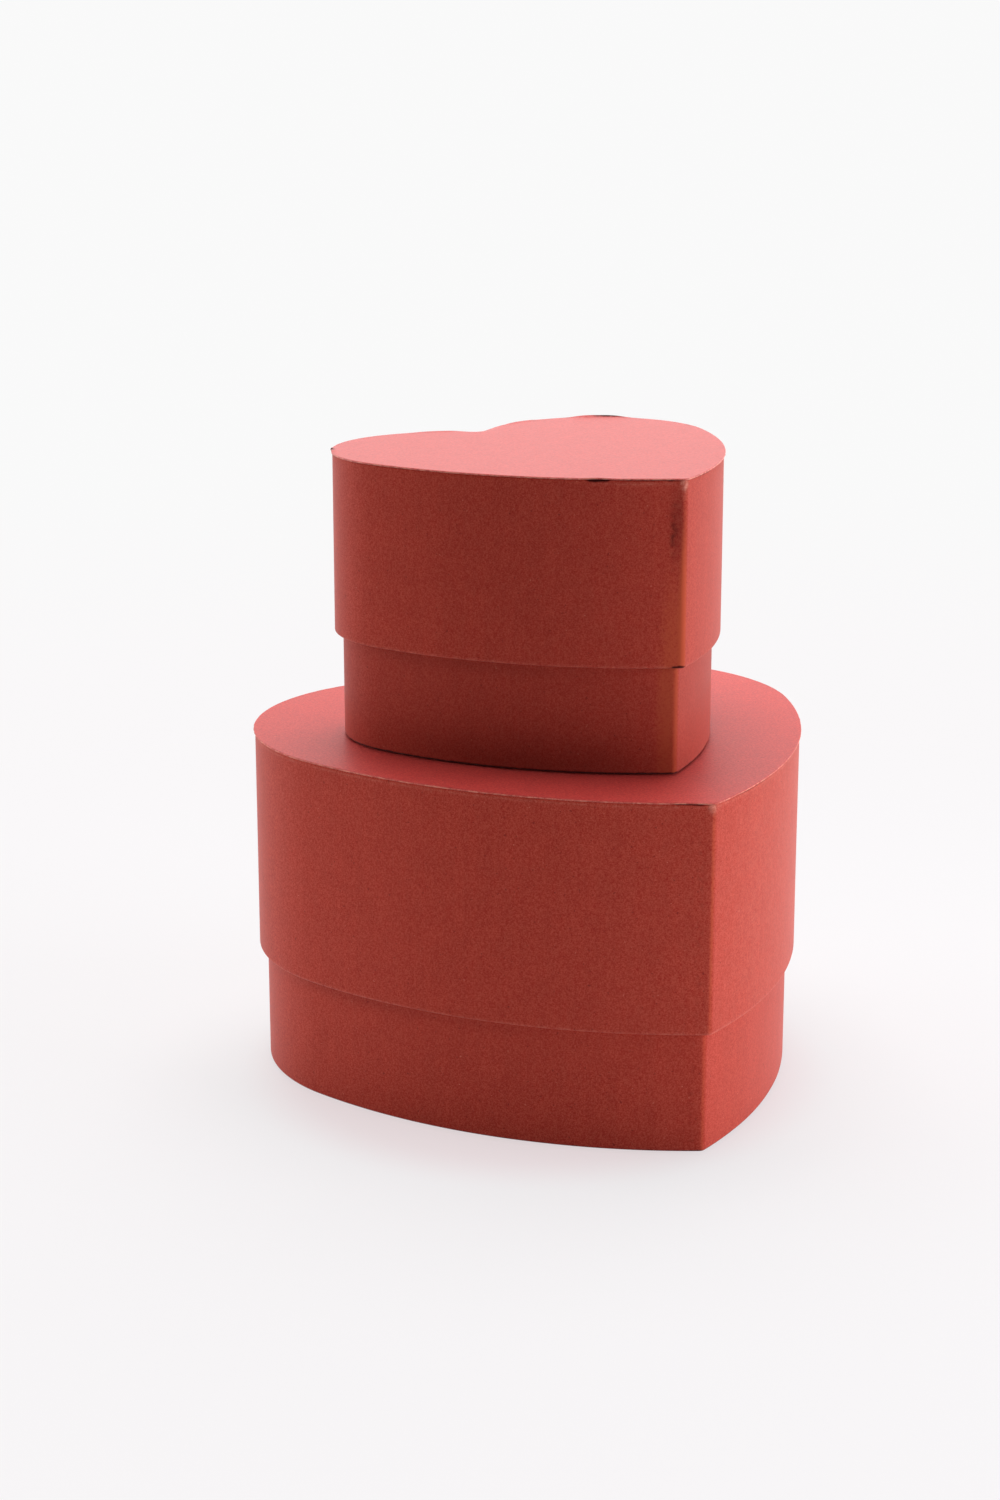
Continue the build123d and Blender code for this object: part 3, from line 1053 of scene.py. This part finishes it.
for size, heart in hearts.items():
    node = f"{size}_lid_top_sheet"
    low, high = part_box(node)
    rings, depths = flat_rings(heart, LID_SHELL, -TOP_LIP, low.z, high.z, CARD_ROUND, CARD_DEPTHS)
    edge = heart.outline(LID_SHELL, -TOP_LIP)
    inward = heart.outline(LID_SHELL, 0) - edge
    inward /= np.linalg.norm(inward, axis=1)[:, None]
    steps = tip_distances(edge) / MM
    lift = sum(
        height * MM * np.exp(-(((steps - centre) / half) ** 4))
        for centre, half, height in LIFTS[size]
    )
    spots = [Vector((WANDERS_PER_MM * step, WANDER_SEED, 0)) for step in steps]
    wander = EDGE_WANDER * np.array([noise.noise(spot) for spot in spots])
    for ring, depth in zip(rings, depths):
        near = np.clip(1 - depth / LIFT_REACH, 0, 1)
        ring[:, 2] += lift * near**2
        ring[:, :2] += inward * (wander * near)[:, None]
    card = ring_sheet(f"{size}_lid_top_card", rings, depths, card_red[size])
    in_from_edge = stored(card.data, "from_edge") / MM
    along = stored(card.data, "from_tip") / MM
    soil = sum(
        patch(along, in_from_edge, (centre, 0), (half, deep))
        for centre, half, deep in PAINTED_EDGE_SHADE[size]
    )
    # Its cut edge is pale, and its lifted edges are painted dark as shade
    mark_paper(card.data, pale=CUT_EDGE_PALE * (in_from_edge < CUT_EDGE_MM), soiled=soil)
    finish_piece(card, f"{size}_lid", node)
    print(card.name, "lifts by up to", round(lift.max() / MM, 2), "mm")

# %% [markdown]
# ## Bottom sheets and flat linings
#
# The bottom sheet is thin, so it sinks a little where the flap above it stops and at each notch of the flap.
# The linings of the floor and of the top are plain flat hearts of cream paper.

# %% Bottom sheets and flat linings
BOTTOM_INSET = 2.0 * MM
FLAP_WIDTH = 13.0 * MM
NOTCH_PITCH = 22.0 * MM
NOTCH_ROOT = 2.5 * MM
NOTCH_WIDTH = 7.0 * MM
NOTCH_SLOPE = FLAP_WIDTH / (NOTCH_WIDTH / 2)
RELIEF = 0.12 * MM
SHEET_ROUND = 0.1 * MM
SHEET_SOIL = 0.36
LINING_ROUND = 0.05 * MM
LINING_DEPTHS = CARD_DEPTHS[::3]
SHEET_DEPTHS = np.array((0.6, 1.4, 2.4, 3.6, 5, 6.5, 8, 9.2, 10.2, 11, 11.8, 13, 16, 20)) * MM


def flap_depths(along):
    """How far in from the wall the notched flap reaches at each point along the outline."""
    length = along[-1] - along[0]
    pitch = length / round(length / NOTCH_PITCH)
    from_notch = np.abs((along / pitch + 1) % 1 - 0.5) * pitch
    return np.minimum(FLAP_WIDTH, NOTCH_ROOT + NOTCH_SLOPE * from_notch)


for size, heart in hearts.items():
    node = f"{size}_base_bottom_sheet"
    low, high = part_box(node)
    rings, depths = flat_rings(heart, 0, BOTTOM_INSET, low.z, high.z, SHEET_ROUND, SHEET_DEPTHS)
    flap = flap_depths(tip_distances(heart.outline(0, 0)))
    for ring, depth in zip(rings, depths):
        # The sheet sinks over 1 mm where the flap ends
        beyond = np.clip((depth + BOTTOM_INSET - flap) / MM + 0.5, 0, 1)
        ring[:, 2] += RELIEF * beyond
    sheet = ring_sheet(f"{size}_base_bottom_paper", rings, depths, sheet_red)
    mark_paper(sheet.data, soiled=SHEET_SOIL)
    finish_piece(sheet, f"{size}_base", node)

    for side, panel in (("base", "floor"), ("lid", "top")):
        node = f"{size}_{side}_{panel}_lining"
        low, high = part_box(node)
        span = (low.z, high.z)
        rings, depths = flat_rings(heart, shells[side], LINING_FACE, *span, LINING_ROUND, LINING_DEPTHS)
        lining = ring_sheet(node + "_paper", rings, depths, lining_cream)
        finish_piece(lining, f"{size}_{side}", node)
print("bottom sheets and flat linings:", 3 * len(hearts))

# %% [markdown]
# ## Wall linings and tape
#
# The lining of a wall is an open strip that stops short of the joint at the cleft, where the tape shows. Both
# are swept along the wall's outline, at their own depth, with a plain oblong section.

# %% Wall linings and tape
TAPE_WIDTH = 14.0 * MM
LINING_BACK = LINING_FACE + LINING

for size, heart in hearts.items():
    across = np.array((math.cos(heart.turn), math.sin(heart.turn)))
    for side, shell in shells.items():
        outline = heart.outline(shell, 0)
        from_middle = np.abs((outline - (heart.x, heart.y)) @ across)
        under_tape = int(np.argmax(from_middle[:len(outline) // 2] > TAPE_WIDTH / 2))
        strips = {
            "wall_lining": (under_tape, len(outline) - under_tape, lining_cream, "lining_paper"),
            "seam_tape": (-under_tape, under_tape, tape_brown, "seam_tape"),
        }
        for kind, (first, last, paper, slot) in strips.items():
            node = f"{size}_{side}_{kind}"
            low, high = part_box(node)
            section = [(depth, low.z) for depth in (LINING_FACE, LINING_BACK)]
            section += [(depth, high.z) for depth in (LINING_BACK, LINING_FACE)]
            path = outline[np.arange(first, last + 1) % len(outline)]
            strip = sweep(node + "_paper", path, section, paper, closed=False)
            finish_piece(strip, f"{size}_{side}", node)
print("wall linings and tapes:", len(strips) * len(levels))

# %% Dressed size
low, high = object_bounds()
print("dressed size in mm:", [round(x / MM, 1) for x in high - low])
